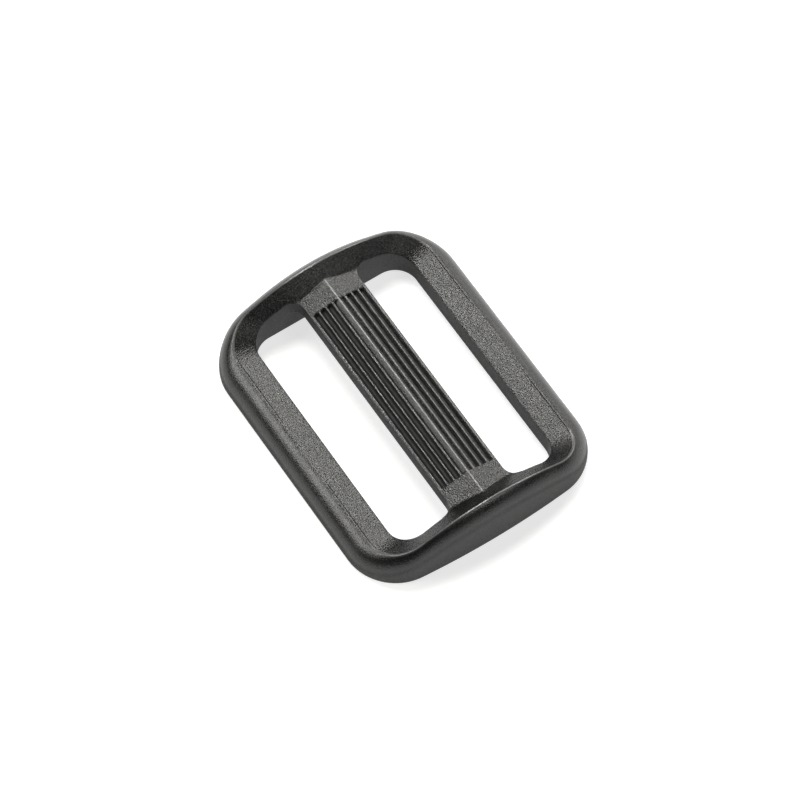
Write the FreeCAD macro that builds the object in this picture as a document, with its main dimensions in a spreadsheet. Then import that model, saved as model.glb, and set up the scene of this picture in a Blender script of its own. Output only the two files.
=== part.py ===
import FreeCAD, Part
import math
import os

import Sketcher

# A strap slider (tri-glide) moulded in one piece: a rounded frame with two slots and a grooved bar
# between them. The strap's width runs along X and the strap is pulled along Y. Z is up, and the
# origin is the middle of the flat underside. The moulding is divided into five regions that meet
# face to face: two straight side rails, two arched ends with their corners, and the bar.

os.makedirs("parts", exist_ok=True)
doc = FreeCAD.newDocument("BuckleSlider")

DRIVING_SIZES = {
    # outline of the frame at its base
    "overall_length": 31.8,
    "overall_width": 25.6,
    "outer_corner": 5.25,
    "outer_bow": 93.0,
    # the crest, the highest line round the frame, which arches up over each end
    "crest_length": 29.6,
    "crest_width": 22.0,
    "crest_corner": 3.6,
    "crest_bow": 217.0,
    "crest_top": 6.25,
    "crest_rail": 2.9,
    # the round shoulder that joins the crest to the upright outer wall
    "shoulder_radius": 3.0,
    # the two slots, and the top edge of their walls
    "slot_length": 26.5,
    "slot_gap": 5.65,
    "slot_corner": 2.4,
    "lip_top": 5.05,
    "lip_rail": 2.6,
    # the bar between the slots
    "bar_width": 6.2,
    "bar_fillet": 1.3,
    "bar_underside": 2.65,
    "bar_edge": 4.5,
    "bar_ridge": 5.2,
    "root_reach": 0.65,
    "root_step": 0.02,
    # the grip grooves along the bar, square to its slopes
    "groove_length": 21.8,
    "groove_mouth": 0.62,
    "groove_floor": 0.18,
    "groove_pitch": 0.725,
    "groove_first": 1.075,
    "groove_depth": 0.42,
    # the shallower notch on each side of the ridge, which leaves the ridge sharp
    "notch_start": 0.05,
    "notch_deepest": 0.5,
    "notch_end": 0.63,
    "notch_depth": 0.25,
    # where the rails end and the corners begin, measured from the middle
    "rail_half": 10.3,
}

GROOVES_PER_SLOPE = 3
CORNER_STEPS = 9
END_STEPS = 12
ROOT_STEPS = 8
# how far the bar's roof falls for each millimetre from its ridge, in the sheet's aliases
ROOF_FALL = "( ( bar_ridge - bar_edge ) / ( bar_width / 2 ) )"
FAR = 40.0
UP = FreeCAD.Vector(0, 0, 1)

sheet = doc.addObject("Spreadsheet::Sheet", "Sizes")
for row, (alias, size) in enumerate(DRIVING_SIZES.items(), start=1):
    sheet.set(f"A{row}", alias)
    sheet.set(f"B{row}", str(size))
    sheet.setAlias(f"B{row}", alias)
doc.recompute()


def value(expression):
    """The number that an expression in the sheet's aliases gives."""
    return float(sheet.evalExpression(expression))


def bound(expression):
    """The same expression as another object writes it, with the sheet's name before each alias."""
    words = []
    for word in expression.split():
        words.append(f"Sizes.{word}" if word in DRIVING_SIZES else word)
    return " ".join(words)


def origin_plane(body, role):
    return next(plane for plane in body.Origin.OriginFeatures if plane.Role == role)


def closed_sketch(body, name, corners, arc_after=None, arc_radius=None):
    """A closed outline on the body's YZ plane through corners given as pairs of expressions.

    The side that follows corner arc_after is an arc of the radius that arc_radius gives.
    """
    sketch = body.newObject("Sketcher::SketchObject", name)
    sketch.AttachmentSupport = (origin_plane(body, "YZ_Plane"), [""])
    sketch.MapMode = "FlatFace"
    points = [FreeCAD.Vector(value(across), value(up), 0) for across, up in corners]
    for index, point in enumerate(points):
        following = points[(index + 1) % len(points)]
        if index == arc_after:
            sketch.addGeometry(bulging_arc(point, following, value(arc_radius), UP), False)
        else:
            sketch.addGeometry(Part.LineSegment(point, following), False)
    for index in range(len(points)):
        following = (index + 1) % len(points)
        joined = Sketcher.Constraint("Coincident", index, 2, following, 1)
        sketch.addConstraint(joined)
    for index, (across, up) in enumerate(corners):
        place_corner(sketch, index, "DistanceX", -2, across)
        place_corner(sketch, index, "DistanceY", -1, up)
    if arc_after is not None:
        rounding = sketch.addConstraint(Sketcher.Constraint("Radius", arc_after, value(arc_radius)))
        sketch.setExpression(f"Constraints[{rounding}]", bound(arc_radius))
    return sketch


def place_corner(sketch, index, direction, axis, expression):
    """Hold a corner on an axis, or at a distance from the origin that the sheet gives."""
    if expression == "0":
        sketch.addConstraint(Sketcher.Constraint("PointOnObject", index, 1, axis))
        return
    distance = Sketcher.Constraint(direction, -1, 1, index, 1, value(expression))
    number = sketch.addConstraint(distance)
    sketch.setExpression(f"Constraints[{number}]", bound(expression))


def bulging_arc(start, end, radius, axis):
    """The shorter arc from start to end that turns to the left about axis."""
    chord = end - start
    outward = chord.cross(axis).normalize()
    bulge = radius - math.sqrt(radius**2 - (chord.Length / 2) ** 2)
    return Part.Arc(start, start + chord / 2 + outward * bulge, end)


def arch(top, side, reach, y):
    """Height at y of an arch that is top high in the middle and side high at reach."""
    return top - (top - side) * (y / reach) ** 2


def make_body(label):
    body = doc.addObject("PartDesign::Body", label)
    body.Label = label
    return body


def pad_along_x(body, sketch, length_expression):
    pad = body.newObject("PartDesign::Pad", "Pad")
    pad.Profile = sketch
    pad.Midplane = True
    pad.Length = value(length_expression)
    pad.setExpression("Length", bound(length_expression))
    return pad


def make_rail(label, turned):
    """A straight rail: vertical slot wall, nearly flat top rising to the crest, rounded outside."""
    body = make_body(label)
    slot_side = "bar_width / 2 + slot_gap"
    to_shoulder_centre = "( shoulder_radius - ( overall_width - crest_width ) / 2 )"
    drop = f"sqrt( shoulder_radius ^ 2 - {to_shoulder_centre} ^ 2 )"
    corners = [
        (slot_side, "0"),
        ("overall_width / 2", "0"),
        ("overall_width / 2", f"crest_rail - {drop}"),
        ("crest_width / 2", "crest_rail"),
        (slot_side, "lip_rail"),
    ]
    section = closed_sketch(body, "Section", corners, arc_after=2, arc_radius="shoulder_radius")
    pad_along_x(body, section, "rail_half * 2")
    body.Placement.Rotation = FreeCAD.Rotation(UP, turned)
    return body


def make_bar():
    """The roof-shaped bar, with grip grooves sunk in each slope and closed at both ends."""
    body = make_body("centre_bar")
    corners = [
        ("- bar_width / 2", "bar_underside"),
        ("bar_width / 2", "bar_underside"),
        ("bar_width / 2", "bar_edge"),
        ("0", "bar_ridge"),
        ("- bar_width / 2", "bar_edge"),
    ]
    section = closed_sketch(body, "Section", corners)
    pad = pad_along_x(body, section, "slot_length - bar_fillet * 2")
    doc.recompute()
    grooves = [cut_groove(body, number) for number in range(GROOVES_PER_SLOPE)] + [cut_notch(body)]
    other_slope = body.newObject("PartDesign::Mirrored", "OtherSlope")
    other_slope.Originals = grooves
    other_slope.MirrorPlane = (origin_plane(body, "XZ_Plane"), [""])
    body.Tip = other_slope
    doc.recompute()
    removed = pad.Shape.Volume - body.Shape.Volume
    one_groove = value("groove_length * ( groove_mouth + groove_floor ) / 2 * groove_depth")
    one_notch = value("groove_length * ( notch_end - notch_start ) / 2 * notch_depth")
    expected = 2 * (one_groove * GROOVES_PER_SLOPE + one_notch)
    if abs(removed / expected - 1) > 0.1:
        raise RuntimeError("the grip grooves didn't cut what they should")
    return body


def roof_height(across):
    """The expression for the roof's height at a distance from the ridge."""
    return f"bar_ridge - {ROOF_FALL} * ( {across} )"


def cut_groove(body, number):
    """One groove, square to the slope of the roof and wider at its mouth than at its floor."""
    slant = f"sqrt( 1 + {ROOF_FALL} ^ 2 )"
    aside = f"groove_depth * {ROOF_FALL} / {slant}"
    down = f"groove_depth / {slant}"
    middle = f"( groove_first + groove_pitch * {number} )"
    floor_near = f"{middle} - groove_floor / 2"
    floor_far = f"{middle} + groove_floor / 2"
    above_near = f"{middle} - groove_mouth + groove_floor / 2"
    above_far = f"{middle} + groove_mouth - groove_floor / 2"
    corners = [
        (f"{floor_near} - {aside}", f"{roof_height(floor_near)} - {down}"),
        (f"{floor_far} - {aside}", f"{roof_height(floor_far)} - {down}"),
        (f"{above_far} + {aside}", f"{roof_height(above_far)} + {down}"),
        (f"{above_near} + {aside}", f"{roof_height(above_near)} + {down}"),
    ]
    return cut_along(body, f"Groove{number}", corners)


def cut_notch(body):
    """The notch beside the ridge: a long flank down from the ridge and a short one back up."""
    corners = [
        ("notch_start", roof_height("notch_start")),
        ("notch_deepest", f"{roof_height('notch_deepest')} - notch_depth"),
        ("notch_end", roof_height("notch_end")),
        ("notch_end", "bar_ridge + notch_depth"),
        ("notch_start", "bar_ridge + notch_depth"),
    ]
    return cut_along(body, "Notch", corners)


def cut_along(body, name, corners):
    """Cut an outline given as pairs of expressions along the bar, as long as the grooves."""
    sketch = closed_sketch(body, f"{name}Section", corners)
    pocket = body.newObject("PartDesign::Pocket", name)
    pocket.Profile = sketch
    pocket.Midplane = True
    pocket.Length = value("groove_length")
    pocket.setExpression("Length", bound("groove_length"))
    doc.recompute()
    return pocket


def frame_outline(half_length, half_width, corner, bow):
    """The x > 0 half of a rounded rectangle with bowed ends."""
    end_centre = FreeCAD.Vector(half_length - bow, 0, 0)
    corner_y = half_width - corner
    corner_x = end_centre.x + math.sqrt((bow - corner) ** 2 - corner_y**2)
    corner_centre = FreeCAD.Vector(corner_x, corner_y, 0)
    to_corner = (corner_centre - end_centre).normalize()
    corner_end = corner_centre + to_corner * corner
    side_end = FreeCAD.Vector(corner_x, half_width, 0)
    end_middle = FreeCAD.Vector(half_length, 0, 0)
    edges = [
        Part.makeLine(FreeCAD.Vector(0, half_width, 0), side_end),
        bulging_arc(corner_end, side_end, corner, UP).toShape(),
        bulging_arc(end_middle, corner_end, bow, UP).toShape(),
    ]
    return both_sides(edges)


def both_sides(edges):
    """An outline together with its mirror image at the other side of the frame."""
    quarter = Part.Compound(edges)
    return Part.Compound([quarter, quarter.mirror(FreeCAD.Vector(0, 0, 0), FreeCAD.Vector(0, 1, 0))])


def slot_outline():
    """The x > 0 half of the frame's opening, round the slots' outer corners and past the bar."""
    half_length = value("slot_length / 2")
    half_width = value("bar_width / 2 + slot_gap")
    corner = value("slot_corner")
    corner_centre = FreeCAD.Vector(half_length - corner, half_width - corner, 0)
    corner_start = corner_centre + FreeCAD.Vector(corner, 0, 0)
    corner_end = corner_centre + FreeCAD.Vector(0, corner, 0)
    edges = [
        Part.makeLine(FreeCAD.Vector(0, half_width, 0), corner_end),
        bulging_arc(corner_start, corner_end, corner, UP).toShape(),
        Part.makeLine(corner_start, FreeCAD.Vector(half_length, 0, 0)),
    ]
    return both_sides(edges)


def crossing(outline, start, direction):
    """Where a level line from start crosses an outline."""
    line = Part.makeLine(start, start + direction * FAR)
    return line.distToShape(outline)[1][0][0]


def ring_section(outlines, start, direction):
    """The frame's section in the upright plane through start that points along direction."""
    foot, crest, lip = [crossing(outline, start, direction) for outline in outlines]
    crest_height = arch(value("crest_top"), value("crest_rail"), value("crest_width / 2"), crest.y)
    lip_height = arch(value("lip_top"), value("lip_rail"), value("bar_width / 2 + slot_gap"), lip.y)
    radius = value("shoulder_radius")
    inset = (foot - crest).Length
    drop = math.sqrt(radius**2 - (radius - inset) ** 2)
    wall_top = foot + UP * (crest_height - drop)
    crest_point = crest + UP * crest_height
    lip_point = lip + UP * lip_height
    edges = [
        Part.makeLine(lip, foot),
        Part.makeLine(foot, wall_top),
        bulging_arc(wall_top, crest_point, radius, direction.cross(UP)).toShape(),
        Part.makeLine(crest_point, lip_point),
        Part.makeLine(lip_point, lip),
    ]
    return Part.Wire(edges)


def corner_stations():
    """Starting points and directions of the section planes from a rail's end round one corner."""
    pivot_y = value("bar_width / 2 + slot_gap - slot_corner")
    pivot = FreeCAD.Vector(value("slot_length / 2 - slot_corner"), pivot_y, 0)
    stations = [(FreeCAD.Vector(value("rail_half"), pivot_y, 0), FreeCAD.Vector(0, 1, 0))]
    for step in range(1, CORNER_STEPS + 1):
        angle = math.radians(90 * step / CORNER_STEPS)
        stations.append((pivot, FreeCAD.Vector(math.sin(angle), math.cos(angle), 0)))
    return stations


def end_stations():
    """The same from one corner along the end to the other corner."""
    pivot_x = value("slot_length / 2 - slot_corner")
    pivot_y = value("bar_width / 2 + slot_gap - slot_corner")
    stations = []
    for step in range(END_STEPS + 1):
        along = pivot_y * (1 - 2 * step / END_STEPS)
        stations.append((FreeCAD.Vector(pivot_x, along, 0), FreeCAD.Vector(1, 0, 0)))
    return stations


def loft_through(outlines, stations):
    sections = [ring_section(outlines, start, towards) for start, towards in stations]
    return Part.makeLoft(sections, True, False)


def bar_root():
    """The end of the bar that belongs to the end bar, with its rounded corners in both slots."""
    end_wall = value("slot_length / 2")
    half_width = value("bar_width / 2")
    fillet = value("bar_fillet")
    underside = value("bar_underside")
    start_x = end_wall - fillet
    reach_x = end_wall + value("root_reach")
    wide = half_width + fillet
    corner_points = [
        FreeCAD.Vector(start_x, half_width, underside),
        FreeCAD.Vector(end_wall, wide, underside),
        FreeCAD.Vector(reach_x, wide, underside),
        FreeCAD.Vector(reach_x, -wide, underside),
        FreeCAD.Vector(end_wall, -wide, underside),
        FreeCAD.Vector(start_x, -half_width, underside),
    ]
    edges = [bulging_arc(corner_points[0], corner_points[1], fillet, UP).toShape()]
    for first, second in zip(corner_points[1:4], corner_points[2:5]):
        edges.append(Part.makeLine(first, second))
    edges.append(bulging_arc(corner_points[4], corner_points[5], fillet, UP).toShape())
    edges.append(Part.makeLine(corner_points[5], corner_points[0]))
    below_surfaces = roof_prism(start_x).fuse(carried_slope(start_x, reach_x, wide))
    return Part.Face(Part.Wire(edges)).extrude(UP * value("bar_ridge")).common(below_surfaces)


def roof_prism(start_x):
    """Everything under the bar's roof, from start_x outwards, as wide as its rounded corners."""
    ridge = value("bar_ridge")
    wide = value("bar_width / 2 + bar_fillet")
    fall = value(ROOF_FALL)
    corners = [
        FreeCAD.Vector(start_x, -wide, 0),
        FreeCAD.Vector(start_x, wide, 0),
        FreeCAD.Vector(start_x, wide, ridge - fall * wide),
        FreeCAD.Vector(start_x, 0, ridge),
        FreeCAD.Vector(start_x, -wide, ridge - fall * wide),
    ]
    return Part.Face(Part.makePolygon(corners + corners[:1])).extrude(FreeCAD.Vector(FAR, 0, 0))


def carried_slope(start_x, reach_x, wide):
    """Everything under the end's inner slope where it carries on inwards over the bar's root."""
    end_wall = value("slot_length / 2")
    sections = []
    for step in range(ROOT_STEPS + 1):
        y = wide * (2 * step / ROOT_STEPS - 1)
        crest_x = value("crest_length / 2 - crest_bow") + math.sqrt(value("crest_bow") ** 2 - y**2)
        crest_height = arch(value("crest_top"), value("crest_rail"), value("crest_width / 2"), y)
        lip_height = arch(value("lip_top"), value("lip_rail"), value("bar_width / 2 + slot_gap"), y)
        steepness = (crest_height - lip_height) / (crest_x - end_wall)
        top = lip_height - value("root_step")
        corners = [
            FreeCAD.Vector(start_x, y, top - steepness * (end_wall - start_x)),
            FreeCAD.Vector(end_wall, y, top),
            FreeCAD.Vector(reach_x, y, top),
            FreeCAD.Vector(reach_x, y, 0),
            FreeCAD.Vector(start_x, y, 0),
        ]
        sections.append(Part.makePolygon(corners + corners[:1]))
    return Part.makeLoft(sections, True, False)


def make_end_bar(label, turned):
    """An arched end with its two corners: its section changes all the way round, so it is lofted."""
    foot = ["overall_length / 2", "overall_width / 2", "outer_corner", "outer_bow"]
    crest = ["crest_length / 2", "crest_width / 2", "crest_corner", "crest_bow"]
    outlines = [frame_outline(*map(value, foot)), frame_outline(*map(value, crest)), slot_outline()]
    corner = loft_through(outlines, corner_stations())
    other_corner = corner.mirror(FreeCAD.Vector(0, 0, 0), FreeCAD.Vector(0, 1, 0))
    end = loft_through(outlines, end_stations())
    end_bar = doc.addObject("Part::Feature", label)
    end_bar.Label = label
    end_bar.Shape = end.fuse([corner, other_corner, bar_root()]).removeSplitter()
    end_bar.Placement = FreeCAD.Placement(FreeCAD.Vector(0, 0, 0), FreeCAD.Rotation(UP, turned))
    return end_bar


sub_parts = [
    make_rail("rail_right", 0),
    make_rail("rail_left", 180),
    make_end_bar("end_bar_front", 0),
    make_end_bar("end_bar_rear", 180),
    make_bar(),
]
doc.recompute()

for item in doc.Objects:
    if "Invalid" in item.State or "Error" in item.State:
        raise RuntimeError(f"{item.Label} failed to build")

for sub_part in sub_parts:
    shape = sub_part.Shape
    if shape.isNull() or not shape.isValid() or len(shape.Solids) != 1:
        raise RuntimeError(f"{sub_part.Label} isn't one valid solid")
    print(f"{sub_part.Label}: {shape.Volume:.1f} mm3, {shape.BoundBox}")
    shape.exportStep(f"parts/{sub_part.Label}.step")
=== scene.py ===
"""A webbing slider moulded in black plastic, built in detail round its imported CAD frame."""

import math

import bmesh
import bpy
import numpy as np
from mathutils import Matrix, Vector


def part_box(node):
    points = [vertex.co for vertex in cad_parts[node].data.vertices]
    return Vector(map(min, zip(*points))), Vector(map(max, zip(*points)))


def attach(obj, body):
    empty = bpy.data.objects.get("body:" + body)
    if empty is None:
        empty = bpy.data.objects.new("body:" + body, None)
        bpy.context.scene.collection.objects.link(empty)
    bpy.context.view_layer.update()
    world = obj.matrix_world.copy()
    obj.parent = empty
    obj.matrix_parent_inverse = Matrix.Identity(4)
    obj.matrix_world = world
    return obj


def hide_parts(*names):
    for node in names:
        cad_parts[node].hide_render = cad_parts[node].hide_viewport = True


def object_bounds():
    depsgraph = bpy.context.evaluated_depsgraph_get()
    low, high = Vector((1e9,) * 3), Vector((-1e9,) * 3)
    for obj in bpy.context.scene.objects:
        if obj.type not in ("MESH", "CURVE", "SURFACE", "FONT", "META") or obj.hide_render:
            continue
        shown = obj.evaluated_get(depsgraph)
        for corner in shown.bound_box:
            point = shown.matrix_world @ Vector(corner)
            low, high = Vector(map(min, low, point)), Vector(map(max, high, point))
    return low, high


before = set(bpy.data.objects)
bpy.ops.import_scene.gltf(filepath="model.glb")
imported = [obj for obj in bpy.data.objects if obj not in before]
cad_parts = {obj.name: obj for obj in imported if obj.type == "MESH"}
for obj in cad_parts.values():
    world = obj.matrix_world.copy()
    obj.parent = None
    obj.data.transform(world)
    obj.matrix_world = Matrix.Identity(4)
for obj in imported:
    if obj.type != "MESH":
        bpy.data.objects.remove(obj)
cad_low, cad_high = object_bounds()

MM = 0.001

# ---------------------------------------------------------------- sizes, in millimetres
#
# A pair of numbers is the two limits of a smooth_step or a remap. A turn is the X part of a section's
# direction in plan: 0 across a rail and 1 across an end.


def box_mm(node):
    low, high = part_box(node)
    return np.array(low) / MM, np.array(high) / MM


RAIL_LOW, RAIL_HIGH = box_mm("rail_right")
BAR_LOW, BAR_HIGH = box_mm("centre_bar")
HALF_LENGTH = cad_high[0] / MM
CREST_TOP = cad_high[2] / MM
HALF_WIDTH = RAIL_HIGH[1]
CREST_RAIL = RAIL_HIGH[2]
RAIL_HALF = RAIL_HIGH[0]
SLOT_SIDE = RAIL_LOW[1]
BAR_HALF_LENGTH = BAR_HIGH[0]
BAR_HALF_WIDTH = BAR_HIGH[1]
BAR_UNDERSIDE = BAR_LOW[2]
BAR_RIDGE = BAR_HIGH[2]

# the outlines in plan, and the shoulder, slot and bar that follow from them
OUTER_CORNER = 5.25
OUTER_BOW = 93.0
CREST_HALF_LENGTH = HALF_LENGTH - 1.2
CREST_HALF_WIDTH = HALF_WIDTH - 1.8
CREST_CORNER = 3.6
CREST_BOW = 217.0
SHOULDER_RADIUS = 3.0
SLOT_CORNER = 2.4
BAR_FILLET = 1.3
SLOT_HALF_LENGTH = BAR_HALF_LENGTH + BAR_FILLET
FIRST_STEP = 0.02
LIP_TOP = 5.05
LIP_RAIL = 2.6
ROOF_FALL = 0.226
RIDGE_FLAT = 0.06
RIDGE_DIP = 0.01

# how far each edge is rounded, and the witness line beside a rail's crest
BASE_EDGE = 0.22
CREST_EDGE_END = 0.16
CREST_EDGE_CORNER = 0.14
CREST_EDGE_TURN = (0.2, 1.0)
CREST_EDGE_SPAN = (10.0, 5.0)
LIP_EDGE = 0.14
LIP_EDGE_SHARE = 0.35
WITNESS_WIDTH = 0.08
WITNESS_DEPTH = 0.06
WITNESS_FADE = (1.5, 7.5)
WITNESS_TURN = (0.35, 0.0)
BAR_TOP_EDGE = 0.1
BAR_LOW_EDGE = 0.3
BAR_EDGE_DROP = 0.02

# where the bar's roof runs into an end
ROOT_BLEND = 0.12
ROOT_REACH = 0.65
ROOT_SEAM = 0.3
ROOT_DIVE = 0.03
ROOT_DIVE_LENGTH = 0.4

# the grooves on each slope of the roof, and the notch beside its ridge
GROOVE_FIRST = 1.075
GROOVE_PITCH = 0.725
GROOVE_MOUTH = 0.62
GROOVE_WALL = 0.26
GROOVE_DEPTH = 0.42
FLANK_START = 0.05
FLANK_END = 0.5
FLANK_SLOPE = 0.78
FLANK_LAND = 0.63
GROOVE_HALF_LENGTH = 10.9
GROOVE_RUN_OUT = 0.28
GROOVES_PER_SLOPE = 3

# points along each stretch of a section
SHOULDER_POINTS = 40
WALL_POINTS = 26
SLOPE_POINTS = 9
INNER_WALL_POINTS = 7
BASE_POINTS = 6
BASE_EDGE_POINTS = 5
CREST_EDGE_POINTS = 7
LIP_EDGE_POINTS = 8
BAR_FLAT_POINTS = 5
BAR_LOW_EDGE_POINTS = 6
BAR_TOP_EDGE_POINTS = 5
GROOVE_POINTS = 15

# sections along each piece
RAIL_SECTIONS = 25
CORNER_SECTIONS = 25
END_SECTIONS = 22
ROOT_FILLET_SECTIONS = 20
ROOT_REACH_SECTIONS = 8

# burnishing, also painted on as a highlight: its strength on each kind of edge
RAIL_WEAR_HIGHLIGHT = 0.1
LAND_WEAR_HIGHLIGHT = 0.4
RIDGE_WEAR_HIGHLIGHT = 0.7
RIM_WEAR_HIGHLIGHT = 0.3
FLANK_WEAR_HIGHLIGHT = 0.3

# burnishing and its painted highlight: where each kind fades out, and the depths and distances that tell
# them apart
CREST_WEAR_HIGHLIGHT_FADE = (0.2, 0.03)
RAIL_WEAR_HIGHLIGHT_TURN = (0.4, 0.0)
ROOF_SKIN_FADE = (0.05, 0.0)
LAND_REACH = 0.16
LAND_FADE = (0.0, 0.1)
RIDGE_FADE = (0.12, 0.02)
RIM_OUTER_INSET = 0.1
RIM_INNER_INSET = 0.25
FLANK_FADE = (0.5, 0.1)
FLANK_DEPTH_MARGIN = 1.2
BAR_SURROUND = 0.5

# the grooves' floors, which are made rougher and kept dark as painted shade, and the depth under the roof
# past which a point is on the bar's side or underside
GROOVE_FLOOR_FADE = (0.1, 0.35)
GROOVE_EDGE_INSET = 0.15
SIDE_DEPTH = 0.7

# the change of finish across the crest
OUTSIDE_FADE = (-0.05, 0.15)

# the plastic: grain, wrinkles and blotches, and how far they lift the surface
GRAIN_PER_METRE = 8000
WRINKLE_PER_METRE = 4300
BLOTCH_PER_METRE = 420
GRAIN_DEPTH = 0.055
WRINKLE_SHARE = 0.25
OUTSIDE_SMOOTHING = 0.4
WORN_SMOOTHING = 0.15

# the plastic: grey levels, with the grain peaks' painted glint and the worn edges' painted highlight, the
# painted reflection of the floor on the end walls, and where along X the slots' walls give way to the
# outside
BODY_DARK = 0.003
BODY_LIGHT = 0.007
BODY_WARMTH = -0.04
GRAIN_PEAK_GLINT = 0.02
WORN_EDGE_HIGHLIGHT = 0.13
END_WALL_PAINTED_REFLECTION = 0.045
SLOT_WALL_PAINTED_REFLECTION = 0.06
PAINTED_REFLECTION_MOTTLE = 0.15
SLOT_WALL_X = (13.5, 14.5)

# the plastic: roughness of the satin top faces and of upright ones, and what changes it
SATIN = 0.26
WALL_DULLNESS = 0.74
GLOSS_DRIFT = 0.03
GRAIN_GLOSS = 0.06
GROOVE_DULLNESS = 0.35
WEAR_POLISH = 0.1

# the plastic: limits between which slope and noise take effect, and the noises' shares in the mottling of
# the painted reflection
UPRIGHT_LIMITS = (0.1, 0.5)
BLOTCH_LIMITS = (0.3, 0.7)
PEAK_LIMITS = (0.5, 0.72)
GRAIN_GLOSS_LIMITS = (0.35, 0.65)
WORN_HIGHLIGHT_GRAIN_LIMITS = (0.3, 0.6)
WORN_HIGHLIGHT_LEAST = 0.45
PAINTED_REFLECTION_LIMITS = (0.38, 0.62)
PAINTED_REFLECTION_FROM_WRINKLE = 0.6
PAINTED_REFLECTION_FROM_BLOTCH = 0.4


# ---------------------------------------------------------------- curves


def unit(vector):
    return vector / np.linalg.norm(vector)


def soft_corner(before, corner, after, count):
    """Points of a short curve that rounds a corner, from before to after."""
    steps = np.linspace(0, 1, count)[:, None]
    return (1 - steps) ** 2 * before + 2 * steps * (1 - steps) * corner + steps**2 * after


def spread(path, count, start, end):
    """Evenly spaced points along a path, start and end being lengths kept clear at its ends."""
    lengths = np.concatenate([[0], np.cumsum(np.linalg.norm(np.diff(path, axis=0), axis=1))])
    wanted = np.linspace(start, lengths[-1] - end, count)
    return np.stack([np.interp(wanted, lengths, path[:, axis]) for axis in range(2)], axis=1)


def arch(top, side, reach, y):
    """Height at y of a parabola that is top in the middle and side at y = reach."""
    return top - (top - side) * (y / reach) ** 2


def smooth_step(low, high, value):
    """0 at low, 1 at high, with no corner at either. Low may be the larger."""
    share = np.clip((value - low) / (high - low), 0, 1)
    return share * share * (3 - 2 * share)


# ---------------------------------------------------------------- plan of the frame


def ray_to_circle(start, direction, centre, radius):
    """The further crossing of a ray with a circle."""
    offset = start - centre
    along = offset @ direction
    return start + direction * (-along + math.sqrt(along**2 - offset @ offset + radius**2))


class Outline:
    """A rounded rectangle with bowed ends, centred on the origin."""

    def __init__(self, half_length, half_width, corner, bow):
        self.half_width = half_width
        self.corner = corner
        self.bow = bow
        self.end_centre = np.array([half_length - bow, 0.0])
        corner_y = half_width - corner
        corner_x = self.end_centre[0] + math.sqrt((bow - corner) ** 2 - corner_y**2)
        self.corner_centre = np.array([corner_x, corner_y])

    def crossing(self, start, direction):
        """Where a ray from inside the first quadrant leaves the outline."""
        if direction[1] > 0:
            side = start + direction * ((self.half_width - start[1]) / direction[1])
            if side[0] <= self.corner_centre[0]:
                return side
        end = ray_to_circle(start, direction, self.end_centre, self.bow)
        from_centre = self.corner_centre - self.end_centre
        if end[1] * from_centre[0] <= (end[0] - self.end_centre[0]) * from_centre[1]:
            return end
        return ray_to_circle(start, direction, self.corner_centre, self.corner)


class SlotOutline:
    """The frame's opening, with rounded corners, as if the bar weren't there."""

    def crossing(self, start, direction):
        centre = np.array([SLOT_HALF_LENGTH - SLOT_CORNER, SLOT_SIDE - SLOT_CORNER])
        if direction[0] <= 0:
            return np.array([start[0], SLOT_SIDE])
        if direction[1] <= 0:
            return np.array([SLOT_HALF_LENGTH, start[1]])
        return centre + direction * SLOT_CORNER


FOOT = Outline(HALF_LENGTH, HALF_WIDTH, OUTER_CORNER, OUTER_BOW)
CREST = Outline(CREST_HALF_LENGTH, CREST_HALF_WIDTH, CREST_CORNER, CREST_BOW)
LIP = SlotOutline()
PIVOT = np.array([SLOT_HALF_LENGTH - SLOT_CORNER, SLOT_SIDE - SLOT_CORNER])
ACROSS_RAIL = np.array([0.0, 1.0])
ACROSS_END = np.array([1.0, 0.0])


def rail_station(x):
    """The section plane across the right rail at x, as a start and a direction."""
    return np.array([x, PIVOT[1]]), ACROSS_RAIL


def rail_stations():
    """Section planes along the right rail, from its front end to its rear end."""
    return [rail_station(x) for x in np.linspace(RAIL_HALF, -RAIL_HALF, RAIL_SECTIONS)]


def quarter_end_stations():
    """Section planes from the right rail's end, round the front corner, to the middle of the end."""
    stations = [rail_station(RAIL_HALF), rail_station(RAIL_HALF + FIRST_STEP)]
    for angle in np.linspace(0, math.pi / 2, CORNER_SECTIONS):
        stations.append((PIVOT, np.array([math.sin(angle), math.cos(angle)])))
    for along in np.linspace(PIVOT[1], 0, END_SECTIONS)[1:]:
        stations.append((np.array([PIVOT[0], along]), ACROSS_END))
    return stations


# ---------------------------------------------------------------- section of the frame


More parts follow.
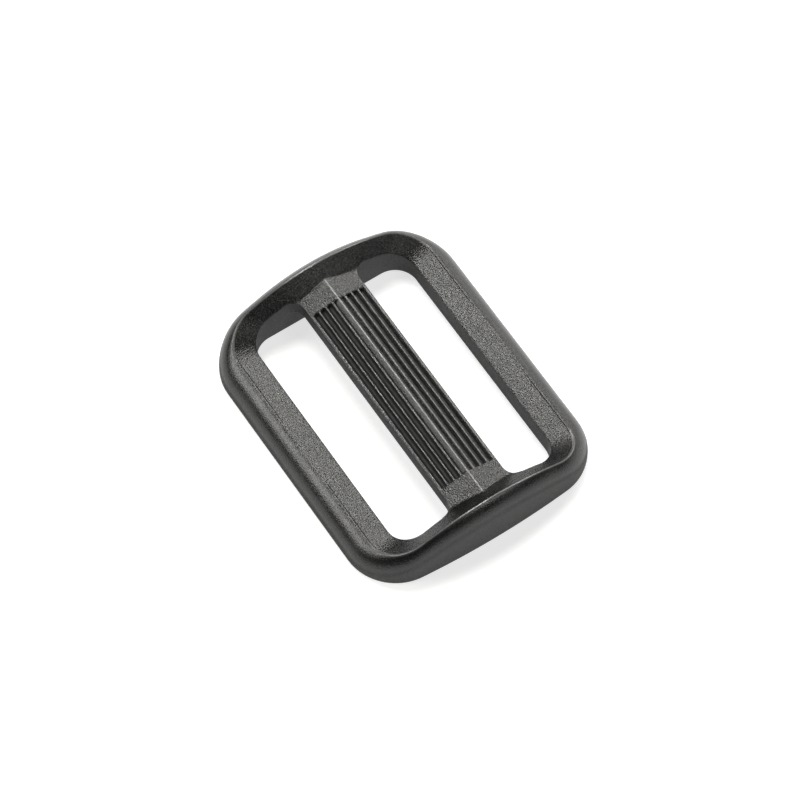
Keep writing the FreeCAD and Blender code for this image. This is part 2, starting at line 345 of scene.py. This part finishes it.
def frame_section(start, direction):
    """Points round the frame's section: under the base, up the outside, over the crest, down the slot."""
    foot, crest, lip = (outline.crossing(abs(start), abs(direction)) for outline in (FOOT, CREST, LIP))
    zero = abs(start) @ abs(direction)
    foot_at, crest_at, lip_at = (point @ abs(direction) - zero for point in (foot, crest, lip))
    crest_height = arch(CREST_TOP, CREST_RAIL, CREST_HALF_WIDTH, crest[1])
    lip_height = arch(LIP_TOP, LIP_RAIL, SLOT_SIDE, lip[1])
    inset = foot_at - crest_at
    tilt = math.acos((SHOULDER_RADIUS - inset) / SHOULDER_RADIUS)
    centre = np.array([foot_at - SHOULDER_RADIUS, crest_height - SHOULDER_RADIUS * math.sin(tilt)])
    angle = np.linspace(0, tilt, SHOULDER_POINTS)[:, None]
    shoulder = centre + SHOULDER_RADIUS * np.concatenate([np.cos(angle), np.sin(angle)], axis=1)
    foot_point = np.array([foot_at, 0.0])
    crest_point = np.array([crest_at, crest_height])
    lip_point = np.array([lip_at, lip_height])
    inner_foot = np.array([lip_at, 0.0])
    outside = np.concatenate([[foot_point], shoulder])

    turned = smooth_step(*CREST_EDGE_TURN, abs(direction[0]))
    at_end = turned * smooth_step(*CREST_EDGE_SPAN, abs(crest[1]))
    crest_edge = CREST_EDGE_CORNER + (CREST_EDGE_END - CREST_EDGE_CORNER) * at_end
    wall = spread(outside, WALL_POINTS, BASE_EDGE, crest_edge)
    inward = unit(lip_point - crest_point)
    lip_edge = min(LIP_EDGE, LIP_EDGE_SHARE * np.linalg.norm(lip_point - crest_point))
    down = np.array([0.0, -1.0])
    slope_start = crest_point + inward * crest_edge
    slope_end = lip_point - inward * lip_edge
    witness = witness_line(slope_start, inward, crest[0], direction)
    slope = np.concatenate([witness, np.linspace(slope_start, slope_end, SLOPE_POINTS)[1:]])
    wall_start = lip_point + down * lip_edge
    wall_end = inner_foot - down * BASE_EDGE
    inner_wall = np.linspace(wall_start, wall_end, INNER_WALL_POINTS)
    along = np.array([BASE_EDGE, 0.0])
    parts = [
        soft_corner(wall_end, inner_foot, inner_foot + along, BASE_EDGE_POINTS)[1:],
        np.linspace(inner_foot + along, foot_point - along, BASE_POINTS)[1:-1],
        soft_corner(foot_point - along, foot_point, wall[0], BASE_EDGE_POINTS)[:-1],
        wall,
        soft_corner(wall[-1], crest_point, slope_start, CREST_EDGE_POINTS)[1:-1],
        slope,
        soft_corner(slope_end, lip_point, wall_start, LIP_EDGE_POINTS)[1:-1],
        inner_wall,
    ]
    profile = np.concatenate(parts)
    plan = start + np.outer(profile[:, 0], direction)
    return np.column_stack([plan, profile[:, 1]])


def witness_line(start, inward, x, direction):
    """A hair-fine notch beside a rail's crest, where two inserts of the mould meet."""
    on_rail = smooth_step(*WITNESS_TURN, abs(direction[0]))
    away_from_middle = smooth_step(*WITNESS_FADE, abs(x))
    depth = WITNESS_DEPTH * on_rail * away_from_middle
    into = np.array([inward[1], -inward[0]])
    if into[1] > 0:
        into = -into
    across = inward * WITNESS_WIDTH
    return np.array([start, start + 0.5 * across + into * depth, start + across])


# ---------------------------------------------------------------- meshes


def swept_mesh(name, sections):
    """A closed mesh through sections that all have the same number of points."""
    count = len(sections[0])
    points = np.concatenate(sections) * MM
    faces = []
    for ring in range(len(sections) - 1):
        for step in range(count):
            following = (step + 1) % count
            faces.append((ring * count + step, ring * count + following,
                          (ring + 1) * count + following, (ring + 1) * count + step))
    faces.append(tuple(reversed(range(count))))
    faces.append(tuple(range((len(sections) - 1) * count, len(sections) * count)))
    mesh = bpy.data.meshes.new(name)
    mesh.from_pydata(points.tolist(), [], faces)
    shape = bmesh.new()
    shape.from_mesh(mesh)
    bmesh.ops.recalc_face_normals(shape, faces=shape.faces)
    shape.to_mesh(mesh)
    shape.free()
    piece = bpy.data.objects.new(name, mesh)
    bpy.context.scene.collection.objects.link(piece)
    return piece


def smooth_by_angle(piece, degrees=32):
    mesh = piece.data
    mesh.shade_smooth()
    mesh.set_sharp_from_angle(angle=math.radians(degrees))


def turned_about_z(sections, half_turn):
    if not half_turn:
        return sections
    return [section * np.array([-1, -1, 1]) for section in sections]


def mirrored_in_y(sections):
    return [section * np.array([1, -1, 1]) for section in sections]


def bar_section(x):
    """The bar's section at x, wider and rising where it runs into an end, with grooves in its roof."""
    reach = abs(x) - BAR_HALF_LENGTH
    grown = 0.0
    if reach > 0:
        grown = BAR_FILLET - math.sqrt(max(BAR_FILLET**2 - min(reach, BAR_FILLET) ** 2, 0))
    wide = BAR_HALF_WIDTH + grown
    roof = bar_roof(wide, abs(x))
    corner_low = np.array([wide, BAR_UNDERSIDE])
    corner_high = np.array([wide, roof[0][1] - BAR_EDGE_DROP])
    under_low = corner_low - np.array([BAR_LOW_EDGE, 0])
    side_low = corner_low + np.array([0, BAR_LOW_EDGE])
    side_high = corner_high - np.array([0, BAR_TOP_EDGE])
    right = np.concatenate([
        np.linspace([0.0, BAR_UNDERSIDE], under_low, BAR_FLAT_POINTS),
        soft_corner(under_low, corner_low, side_low, BAR_LOW_EDGE_POINTS)[1:],
        np.linspace(side_low, side_high, BAR_FLAT_POINTS)[1:],
        soft_corner(side_high, corner_high, roof[0], BAR_TOP_EDGE_POINTS)[1:-1],
        roof,
    ])
    left = (right * np.array([-1, 1]))[::-1][1:-1]
    profile = np.concatenate([right, left])
    return np.column_stack([np.full(len(profile), x), profile])


def groove_depth(y, x):
    """How deep the roof is pressed in at y and x: round-floored grooves, and a notch beside the ridge."""
    run_out = smooth_step(0, GROOVE_RUN_OUT, GROOVE_HALF_LENGTH - x)
    flank = (FLANK_SLOPE - ROOF_FALL) * (y - FLANK_START)
    notch_floor = (FLANK_SLOPE - ROOF_FALL) * (FLANK_END - FLANK_START)
    notch_wall = notch_floor * (FLANK_LAND - y) / (FLANK_LAND - FLANK_END)
    deepest = max(0.0, min(flank, notch_wall))
    for number in range(GROOVES_PER_SLOPE):
        inside = GROOVE_MOUTH / 2 - abs(y - GROOVE_FIRST - GROOVE_PITCH * number)
        share = min(max(inside / GROOVE_WALL, 0.0), 1.0)
        deepest = max(deepest, GROOVE_DEPTH * math.sin(share * math.pi / 2))
    return deepest * run_out


def end_slope_height(y, x):
    """Height of the end's inner slope at y and x, carried on inwards over the bar's root."""
    crest_x = CREST.end_centre[0] + math.sqrt(CREST_BOW**2 - y**2)
    crest_height = arch(CREST_TOP, CREST_RAIL, CREST_HALF_WIDTH, y)
    lip_height = arch(LIP_TOP, LIP_RAIL, SLOT_SIDE, y)
    steepness = (crest_height - lip_height) / (crest_x - SLOT_HALF_LENGTH)
    return crest_height - steepness * (crest_x - x)


def roof_point(y, x):
    """The roof over y at x: grooved square to its slope, or blended into the end's inner slope."""
    roof = BAR_RIDGE - ROOF_FALL * y - RIDGE_DIP * max(0.0, 1 - y / RIDGE_FLAT)
    if x <= BAR_HALF_LENGTH:
        depth = groove_depth(y, x)
        lean = math.atan(ROOF_FALL)
        return y - depth * math.sin(lean), roof - depth * math.cos(lean)
    slope = end_slope_height(y, x)
    blended = (roof + slope + math.sqrt((roof - slope) ** 2 + ROOT_BLEND**2)) / 2
    from_seam = smooth_step(0, ROOT_SEAM, x - BAR_HALF_LENGTH)
    dive_start = SLOT_HALF_LENGTH + ROOT_REACH - ROOT_DIVE_LENGTH
    dive = ROOT_DIVE * smooth_step(0, ROOT_DIVE_LENGTH, x - dive_start)
    return y, roof + (blended - roof) * from_seam - dive


def bar_roof(wide, x):
    """Points over one slope of the roof at x, from its edge to the ridge, closest at the notch's bends."""
    across = [wide - BAR_TOP_EDGE]
    for number in reversed(range(GROOVES_PER_SLOPE)):
        middle = GROOVE_FIRST + GROOVE_PITCH * number
        across += list(middle + GROOVE_MOUTH / 2 * np.linspace(1, -1, GROOVE_POINTS))
        if number:
            across.append(middle - GROOVE_PITCH / 2)
    across += [FLANK_LAND, 0.6, 0.56, 0.53, FLANK_END, 0.47, 0.42, 0.35, 0.25, 0.15, 0.1, 0.07]
    across += [FLANK_START, 0.02, 0.0]
    return np.array([roof_point(y, x) for y in across])


def bar_stations():
    """Where along the bar its sections lie, closest together where the grooves run out."""
    edge = GROOVE_HALF_LENGTH
    run_out = [edge - GROOVE_RUN_OUT * share for share in (1.0, 0.85, 0.7, 0.55, 0.4, 0.25, 0.1, 0.0)]
    half = [0.0, 2.5, 5.0, 7.5, 9.5, edge - 0.5, *run_out, edge + 0.2, BAR_HALF_LENGTH]
    return [-x for x in reversed(half[1:])] + half


def make_bar():
    """The bar between its roots."""
    return swept_mesh("centre_bar_moulding", [bar_section(x) for x in bar_stations()])


def make_rail(name, half_turn):
    """The right rail, or the left one after half a turn."""
    sections = [frame_section(*station) for station in rail_stations()]
    return swept_mesh(name, turned_about_z(sections, half_turn))


def make_end(name, half_turn):
    """The front end with its corners and the bar's root, or the rear one after half a turn."""
    first = [frame_section(*station) for station in quarter_end_stations()]
    sections = first + mirrored_in_y(first)[::-1][1:]
    ring = swept_mesh(name, turned_about_z(sections, half_turn))
    root_x = [BAR_HALF_LENGTH, BAR_HALF_LENGTH + FIRST_STEP]
    fillet_angles = np.linspace(0, math.pi / 2, ROOT_FILLET_SECTIONS)[1:]
    root_x += [BAR_HALF_LENGTH + BAR_FILLET * math.sin(angle) for angle in fillet_angles]
    root_x += list(SLOT_HALF_LENGTH + ROOT_REACH * np.linspace(0, 1, ROOT_REACH_SECTIONS)[1:])
    root = swept_mesh(name + "_root", turned_about_z([bar_section(x) for x in root_x], half_turn))
    join(ring, root)
    return ring


def join(piece, addition):
    """Make one closed mesh of two that overlap."""
    union = piece.modifiers.new("union", "BOOLEAN")
    union.operation = "UNION"
    union.solver = "EXACT"
    union.object = addition
    graph = bpy.context.evaluated_depsgraph_get()
    joined = bpy.data.meshes.new_from_object(piece.evaluated_get(graph))
    piece.modifiers.clear()
    piece.data = joined
    bpy.data.objects.remove(addition)


# ---------------------------------------------------------------- worn edges, painted lighter as a highlight


def section_through(point):
    """The start and direction of the section plane that a point of the frame lies in."""
    if point[0] <= PIVOT[0]:
        return rail_station(point[0])
    if point[1] <= PIVOT[1]:
        return np.array([PIVOT[0], point[1]]), ACROSS_END
    return PIVOT, unit(point - PIVOT)


def crest_wear_and_highlight(point, height):
    """How burnished the frame is, and so how much highlight is painted on: 1 on an end's crest, much less
    on a rail's, and 0 a little way off it.
    """
    start, direction = section_through(point)
    crest = CREST.crossing(start, direction)
    aside = (point - crest) @ direction
    above = height - arch(CREST_TOP, CREST_RAIL, CREST_HALF_WIDTH, crest[1])
    away = math.hypot(aside, above)
    on_rail = float(smooth_step(*RAIL_WEAR_HIGHLIGHT_TURN, direction[0]))
    strength = 1 - (1 - RAIL_WEAR_HIGHLIGHT) * on_rail
    return strength * float(smooth_step(*CREST_WEAR_HIGHLIGHT_FADE, away))


def bar_wear_and_highlight(point, height):
    """How burnished the bar's roof is, and so how much highlight is painted on: most on the ridge, less on
    the lands, the rims and the notch.
    """
    x, y = point
    below = BAR_RIDGE - ROOF_FALL * y - height
    on_top = float(smooth_step(*ROOF_SKIN_FADE, below))
    beside_groove = groove_depth(y - LAND_REACH, x) + groove_depth(y + LAND_REACH, x)
    on_land = float(smooth_step(*LAND_FADE, beside_groove))
    on_ridge = float(smooth_step(*RIDGE_FADE, y))
    on_rim = float(smooth_step(BAR_HALF_WIDTH - RIM_INNER_INSET, BAR_HALF_WIDTH - RIM_OUTER_INSET, y))
    just_under = below < FLANK_DEPTH_MARGIN * (FLANK_SLOPE - ROOF_FALL) * (FLANK_END - FLANK_START)
    on_flank = float(smooth_step(*FLANK_FADE, y)) if just_under else 0.0
    top = max(LAND_WEAR_HIGHLIGHT * on_land, RIDGE_WEAR_HIGHLIGHT * on_ridge, RIM_WEAR_HIGHLIGHT * on_rim)
    return on_top * top + FLANK_WEAR_HIGHLIGHT * on_flank * (1 - on_top)


def groove_shade(point, height):
    """1 on the floors of the bar's deep grooves, falling to 0 at their lands: where painted shade keeps the
    floors dark.
    """
    x, y = point
    below = BAR_RIDGE - ROOF_FALL * y - height
    in_grooves = GROOVE_FIRST - GROOVE_PITCH / 2 < y < BAR_HALF_WIDTH - GROOVE_EDGE_INSET
    if not in_grooves or below >= SIDE_DEPTH:
        return 0.0
    return float(smooth_step(*GROOVE_FLOOR_FADE, below))


def outside_crest(point):
    """1 outside the crest, where the mould was smoother, and 0 on the frame's inner side."""
    start, direction = section_through(point)
    crest = CREST.crossing(start, direction)
    return float(smooth_step(*OUTSIDE_FADE, (point - crest) @ direction))


def mark_surface(piece):
    """Store each point's burnishing and painted highlight, below zero for the painted shade on the grooves'
    floors, and whether it lies outside.
    """
    wear_and_highlight = piece.data.attributes.new("wear_and_highlight", "FLOAT", "POINT")
    outside = piece.data.attributes.new("outside", "FLOAT", "POINT")
    for vertex in piece.data.vertices:
        x, y, height = np.abs(np.array(vertex.co)) / MM
        if x < SLOT_HALF_LENGTH and y < BAR_HALF_WIDTH + BAR_SURROUND:
            wear_and_highlight.data[vertex.index].value = bar_wear_and_highlight((x, y), height) - groove_shade((x, y), height)
        else:
            wear_and_highlight.data[vertex.index].value = crest_wear_and_highlight(np.array([x, y]), height)
            outside.data[vertex.index].value = outside_crest(np.array([x, y]))


# ---------------------------------------------------------------- material


class Nodes:
    """Short ways to add and link shader nodes."""

    def __init__(self, tree):
        self.nodes = tree.nodes
        self.links = tree.links

    def add(self, kind, **inputs):
        node = self.nodes.new(kind)
        for name, value in inputs.items():
            self.feed(node.inputs[name], value)
        return node

    def feed(self, socket, value):
        if isinstance(value, bpy.types.NodeSocket):
            self.links.new(value, socket)
        else:
            socket.default_value = value

    def math(self, operation, first, second):
        node = self.nodes.new("ShaderNodeMath")
        node.operation = operation
        self.feed(node.inputs[0], first)
        self.feed(node.inputs[1], second)
        return node.outputs[0]

    def remap(self, value, low, high, to_low, to_high):
        node = self.nodes.new("ShaderNodeMapRange")
        node.interpolation_type = "SMOOTHSTEP"
        for index, number in enumerate((value, low, high, to_low, to_high)):
            self.feed(node.inputs[index], number)
        return node.outputs[0]

    def mix(self, share, first, second):
        node = self.nodes.new("ShaderNodeMix")
        node.data_type = "RGBA"
        self.feed(node.inputs["Factor"], share)
        self.feed(node.inputs["A"], first)
        self.feed(node.inputs["B"], second)
        return node.outputs["Result"]

    def scaled(self, colour, factor):
        node = self.nodes.new("ShaderNodeVectorMath")
        node.operation = "SCALE"
        self.feed(node.inputs[0], colour)
        self.feed(node.inputs["Scale"], factor)
        return node.outputs["Vector"]

    def noise(self, where, per_metre, detail):
        node = self.add("ShaderNodeTexNoise", Vector=where, Scale=per_metre, Detail=detail)
        return node.outputs["Fac"]


def grey(level, tint=0.0):
    """A grey, bluer where tint is above zero and warmer where it is below."""
    return (level, level, level * (1 + tint), 1)


def slider_plastic():
    """Black plastic: spark-eroded grain with painted glints, dull upright faces, a painted reflection of
    the floor on the end walls, and burnished edges painted lighter as a highlight.
    """
    material = bpy.data.materials.new("slider_plastic")
    material.use_nodes = True
    shade = Nodes(material.node_tree)
    shader = material.node_tree.nodes["Principled BSDF"]
    where = shade.nodes.new("ShaderNodeTexCoord")
    place = where.outputs["Object"]
    facing = shade.add("ShaderNodeSeparateXYZ", Vector=where.outputs["Normal"])
    wear_highlight_shade_mark = shade.nodes.new("ShaderNodeAttribute")
    wear_highlight_shade_mark.attribute_name = "wear_and_highlight"
    outside_mark = shade.nodes.new("ShaderNodeAttribute")
    outside_mark.attribute_name = "outside"

    grain = shade.noise(place, GRAIN_PER_METRE, 2)
    wrinkle = shade.noise(place, WRINKLE_PER_METRE, 1)
    blotch = shade.noise(place, BLOTCH_PER_METRE, 3)
    upright = shade.remap(shade.math("ABSOLUTE", facing.outputs["Z"], 0), *UPRIGHT_LIMITS, 1, 0)
    endwise = shade.math("MULTIPLY", upright, shade.math("ABSOLUTE", facing.outputs["X"], 0))
    # The mark's positive part is real burnishing, and it is also where a highlight is painted on.
    burnish_and_highlight = shade.math("MAXIMUM", wear_highlight_shade_mark.outputs["Fac"], 0)
    in_groove = shade.math("MAXIMUM", shade.math("MULTIPLY", wear_highlight_shade_mark.outputs["Fac"], -1), 0)
    wear_and_highlight = shade.math("MULTIPLY", burnish_and_highlight, shade.remap(grain, *WORN_HIGHLIGHT_GRAIN_LIMITS, WORN_HIGHLIGHT_LEAST, 1))
    # Grain peaks get a lighter grey. This is partly the grain's own tone and partly painted glints.
    peak = shade.remap(grain, *PEAK_LIMITS, 0, 1)

    pale = shade.remap(blotch, *BLOTCH_LIMITS, 0, 1)
    body = shade.mix(pale, grey(BODY_DARK, BODY_WARMTH), grey(BODY_LIGHT))
    # Painted shade: the grooves' floors get none of the lighter peaks, so they stay dark.
    open_peak = shade.math("MULTIPLY", peak, shade.math("SUBTRACT", 1, in_groove))
    body = shade.mix(open_peak, body, grey(GRAIN_PEAK_GLINT))
    # Upright faces that face along X get a paler grey: a painted reflection of the bright floor, mottled by
    # wrinkles and blotches.
    along = shade.math("ABSOLUTE", shade.add("ShaderNodeSeparateXYZ", Vector=place).outputs["X"], 0)
    slot_end, outer_end = SLOT_WALL_X
    in_slot = shade.remap(along, slot_end * MM, outer_end * MM, 1, 0)
    painted_reflection = shade.mix(in_slot, grey(END_WALL_PAINTED_REFLECTION), grey(SLOT_WALL_PAINTED_REFLECTION))
    fine = shade.math("MULTIPLY", wrinkle, PAINTED_REFLECTION_FROM_WRINKLE)
    uneven = shade.math("ADD", fine, shade.math("MULTIPLY", blotch, PAINTED_REFLECTION_FROM_BLOTCH))
    painted_reflection = shade.scaled(painted_reflection, shade.remap(uneven, *PAINTED_REFLECTION_LIMITS, 1 - PAINTED_REFLECTION_MOTTLE, 1 + PAINTED_REFLECTION_MOTTLE))
    body = shade.mix(endwise, body, painted_reflection)
    # Worn edges are mixed towards a light grey. This is partly real burnishing and partly a painted
    # highlight along the crests, lands, ridge and rims.
    body = shade.mix(wear_and_highlight, body, grey(WORN_EDGE_HIGHLIGHT))
    shade.feed(shader.inputs["Base Color"], body)

    gloss = shade.math("ADD", shade.remap(upright, 0, 1, SATIN, WALL_DULLNESS),
                       shade.remap(blotch, *BLOTCH_LIMITS, -GLOSS_DRIFT, GLOSS_DRIFT))
    gloss = shade.math("ADD", gloss, shade.remap(grain, *GRAIN_GLOSS_LIMITS, GRAIN_GLOSS, -GRAIN_GLOSS))
    gloss = shade.math("SUBTRACT", gloss, shade.math("MULTIPLY", wear_and_highlight, WEAR_POLISH))
    gloss = shade.math("ADD", gloss, shade.math("MULTIPLY", in_groove, GROOVE_DULLNESS))
    shade.feed(shader.inputs["Roughness"], gloss)

    relief = shade.math("ADD", grain, shade.math("MULTIPLY", wrinkle, WRINKLE_SHARE))
    outer_depth = shade.remap(outside_mark.outputs["Fac"], 0, 1, 1, OUTSIDE_SMOOTHING)
    depth = shade.math("MULTIPLY", shade.remap(burnish_and_highlight, 0, 1, 1, WORN_SMOOTHING), outer_depth)
    bump = shade.add("ShaderNodeBump", Strength=1.0, Distance=GRAIN_DEPTH * MM)
    shade.feed(bump.inputs["Height"], shade.math("MULTIPLY", relief, depth))
    shade.feed(shader.inputs["Normal"], bump.outputs["Normal"])
    return material


# ---------------------------------------------------------------- the slider


PLASTIC = slider_plastic()
pieces = {
    "rail_right": make_rail("rail_right_moulding", False),
    "rail_left": make_rail("rail_left_moulding", True),
    "end_bar_front": make_end("end_bar_front_moulding", False),
    "end_bar_rear": make_end("end_bar_rear_moulding", True),
    "centre_bar": make_bar(),
}
for node, piece in pieces.items():
    smooth_by_angle(piece)
    mark_surface(piece)
    piece.data.materials.clear()
    piece.data.materials.append(PLASTIC)
    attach(piece, "root")
    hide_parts(node)


# ---------------------------------------------------------------- floor, lights and camera


FLOOR_GREY = 0.5
FLOOR_GLOW = 0.7
FLOOR_HALF = 2.0
FLOOR_ROUGHNESS = 0.9
WARM_WHITE = (1.0, 0.99, 0.955)


def make_floor():
    """A grey floor whose own glow makes it look white and keeps the object's shadow on it light."""
    mesh = bpy.data.meshes.new("floor")
    half = FLOOR_HALF
    corners = [(-half, -half, 0), (half, -half, 0), (half, half, 0), (-half, half, 0)]
    mesh.from_pydata(corners, [], [(0, 1, 2, 3)])
    floor = bpy.data.objects.new("floor", mesh)
    bpy.context.scene.collection.objects.link(floor)
    material = bpy.data.materials.new("floor_paper")
    material.use_nodes = True
    shader = material.node_tree.nodes["Principled BSDF"]
    shader.inputs["Base Color"].default_value = grey(FLOOR_GREY)
    shader.inputs["Roughness"].default_value = FLOOR_ROUGHNESS
    shader.inputs["Emission Color"].default_value = grey(1.0)
    shader.inputs["Emission Strength"].default_value = FLOOR_GLOW
    mesh.materials.append(material)


def make_softbox(name, azimuth, elevation, diameter, power):
    """A round softbox a metre away, aimed at the object. Azimuth is from +X towards +Y."""
    across = math.cos(math.radians(elevation))
    towards = Vector((
        across * math.cos(math.radians(azimuth)),
        across * math.sin(math.radians(azimuth)),
        math.sin(math.radians(elevation)),
    ))
    light = bpy.data.lights.new(name, "AREA")
    light.shape = "DISK"
    light.size = diameter
    light.energy = power
    light.color = WARM_WHITE
    lamp = bpy.data.objects.new(name, light)
    lamp.location = towards
    lamp.rotation_euler = towards.to_track_quat("Z", "Y").to_euler()
    bpy.context.scene.collection.objects.link(lamp)


def make_world(strength):
    world = bpy.data.worlds.new("studio")
    world.use_nodes = True
    background = world.node_tree.nodes["Background"]
    background.inputs["Color"].default_value = (1, 1, 1, 1)
    background.inputs["Strength"].default_value = strength
    bpy.context.scene.world = world


VIEW_AZIMUTH = math.radians(56.6)
VIEW_ELEVATION = math.radians(62.1)
VIEW_DISTANCE = 355.7 * MM
LENS = 171.0
SENSOR_WIDTH = 36
CLIP_START = 0.01
AIM_RIGHT = -0.214 * MM
AIM_UP = 0.89 * MM


def make_camera():
    """A long lens on the object's middle, held level, from the front and well above."""
    back = Vector((
        math.sin(VIEW_AZIMUTH) * math.cos(VIEW_ELEVATION),
        -math.cos(VIEW_AZIMUTH) * math.cos(VIEW_ELEVATION),
        math.sin(VIEW_ELEVATION),
    ))
    right = Vector((math.cos(VIEW_AZIMUTH), math.sin(VIEW_AZIMUTH), 0))
    up = back.cross(right)
    aim = right * AIM_RIGHT + up * AIM_UP
    data = bpy.data.cameras.new("camera")
    data.lens = LENS
    data.sensor_width = SENSOR_WIDTH
    data.clip_start = CLIP_START
    camera = bpy.data.objects.new("camera", data)
    camera.location = aim + back * VIEW_DISTANCE
    camera.rotation_euler = back.to_track_quat("Z", "Y").to_euler()
    bpy.context.scene.collection.objects.link(camera)
    bpy.context.scene.camera = camera


bpy.context.scene.view_settings.view_transform = "Standard"
make_floor()
make_softbox("overhead", 168, 65, 0.34, 7.0)
make_softbox("back", 126, 44, 0.4, 4.8)
make_softbox("back_mid", 158, 41, 0.3, 1.4)
make_softbox("back_low", 113, 12, 0.35, 1.0)
make_softbox("left", 240, 34, 0.5, 4.8)
make_softbox("front", 19, 38, 0.34, 1.8)
make_world(0.005)
make_camera()
